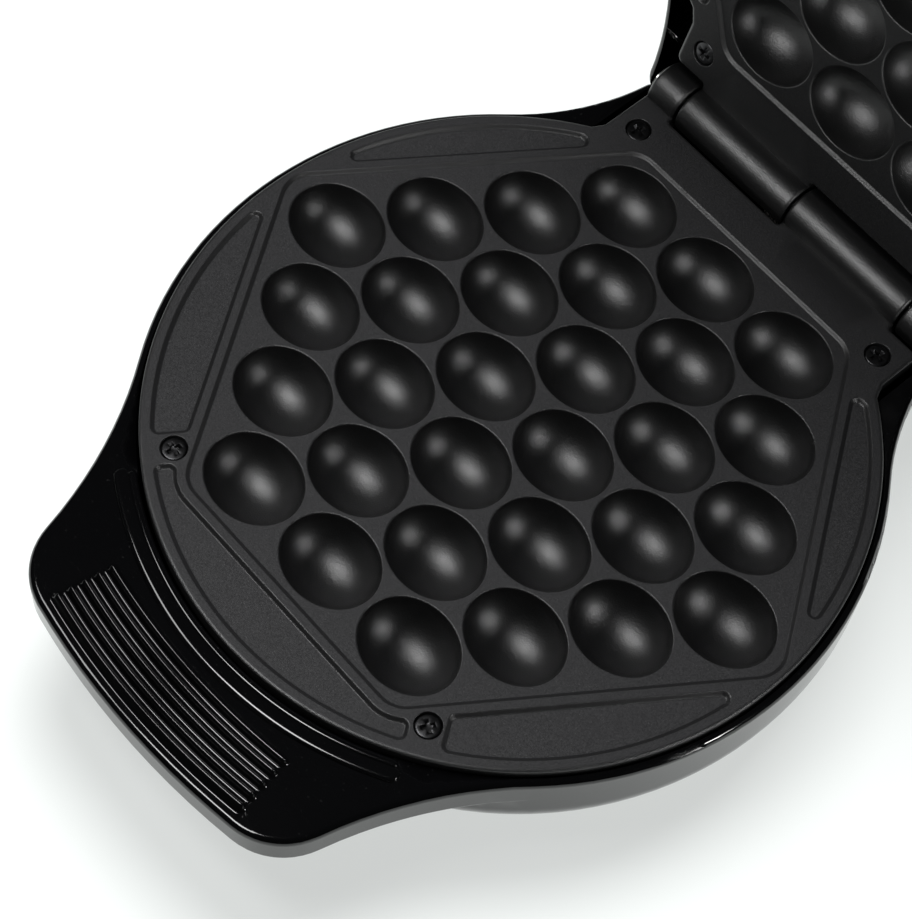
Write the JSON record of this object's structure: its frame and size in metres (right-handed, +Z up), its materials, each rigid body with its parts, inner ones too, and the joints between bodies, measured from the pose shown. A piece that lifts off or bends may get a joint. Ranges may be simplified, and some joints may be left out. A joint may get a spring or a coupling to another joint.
{
  "type": "bubble waffle maker",
  "caption": "Electric waffle maker with two hinged plates of egg-shaped wells in a hexagonal field, round casings with wide ribbed grips, and its lid swung open on a stop.",
  "frame": {"origin": "on the plane the feet stand on, under the middle of the hexagonal cooking field", "axes": "+Z up, +Y from the grip towards the hinge, +X along the hinge, to the right as seen from the grip"},
  "size_m": [0.2108, 0.3407, 0.2829],
  "materials": {
    "casing": "high gloss black",
    "plate": "satin charcoal non-stick coating",
    "dark_screw": "blackened",
    "foot_rubber": "matte",
    "element": "dull oxidised",
    "steel": "zinc plated",
    "ceramic": "unglazed ceramic",
    "bright_sheet": "bright rolled sheet",
    "fuse_case": "satin",
    "brass": "plain",
    "lead_sleeve": "woven glass sleeve",
    "clamp_plastic": "moulded"
  },
  "bodies": {
    "base": {"base_shell": "casing", "base_feet": "foot_rubber", "lower_plate": "plate", "lower_plate_screws": "dark_screw", "lower_element": "element", "lower_element_pins": "steel", "lower_element_beads": "ceramic", "lower_element_straps": "steel", "lower_strap_screws": "steel", "lower_reflector": "bright_sheet", "lower_reflector_screws": "steel", "thermostat": "ceramic", "thermostat_bracket": "bright_sheet", "thermostat_screws": "steel", "thermal_fuse": "fuse_case", "fuse_clip": "steel", "terminal_block": "ceramic", "terminal_screws": "brass", "cord_gland": "foot_rubber", "lower_lead_left": "lead_sleeve", "lower_lead_right": "lead_sleeve", "supply_lead": "lead_sleeve", "fuse_link": "lead_sleeve", "thermostat_lead": "lead_sleeve", "hinge_pin": "steel", "pin_clips": "steel"},
    "lid": {"lid_shell": "casing", "upper_plate": "plate", "upper_plate_screws": "dark_screw", "upper_element": "element", "upper_element_pins": "steel", "upper_element_beads": "ceramic", "upper_element_straps": "steel", "upper_strap_screws": "steel", "upper_reflector": "bright_sheet", "upper_reflector_screws": "steel", "upper_lead_left": "lead_sleeve", "upper_lead_right": "lead_sleeve", "lead_clamp": "clamp_plastic", "lead_clamp_screws": "steel"}
  },
  "joints": [
    {"name": "lid_hinge", "type": "hinge", "parent": "base", "child": "lid", "pos_m": [0, 0.1075, 0.0462], "axis": [1, 0, 0], "range_deg": [0, 105.8]}
  ]
}
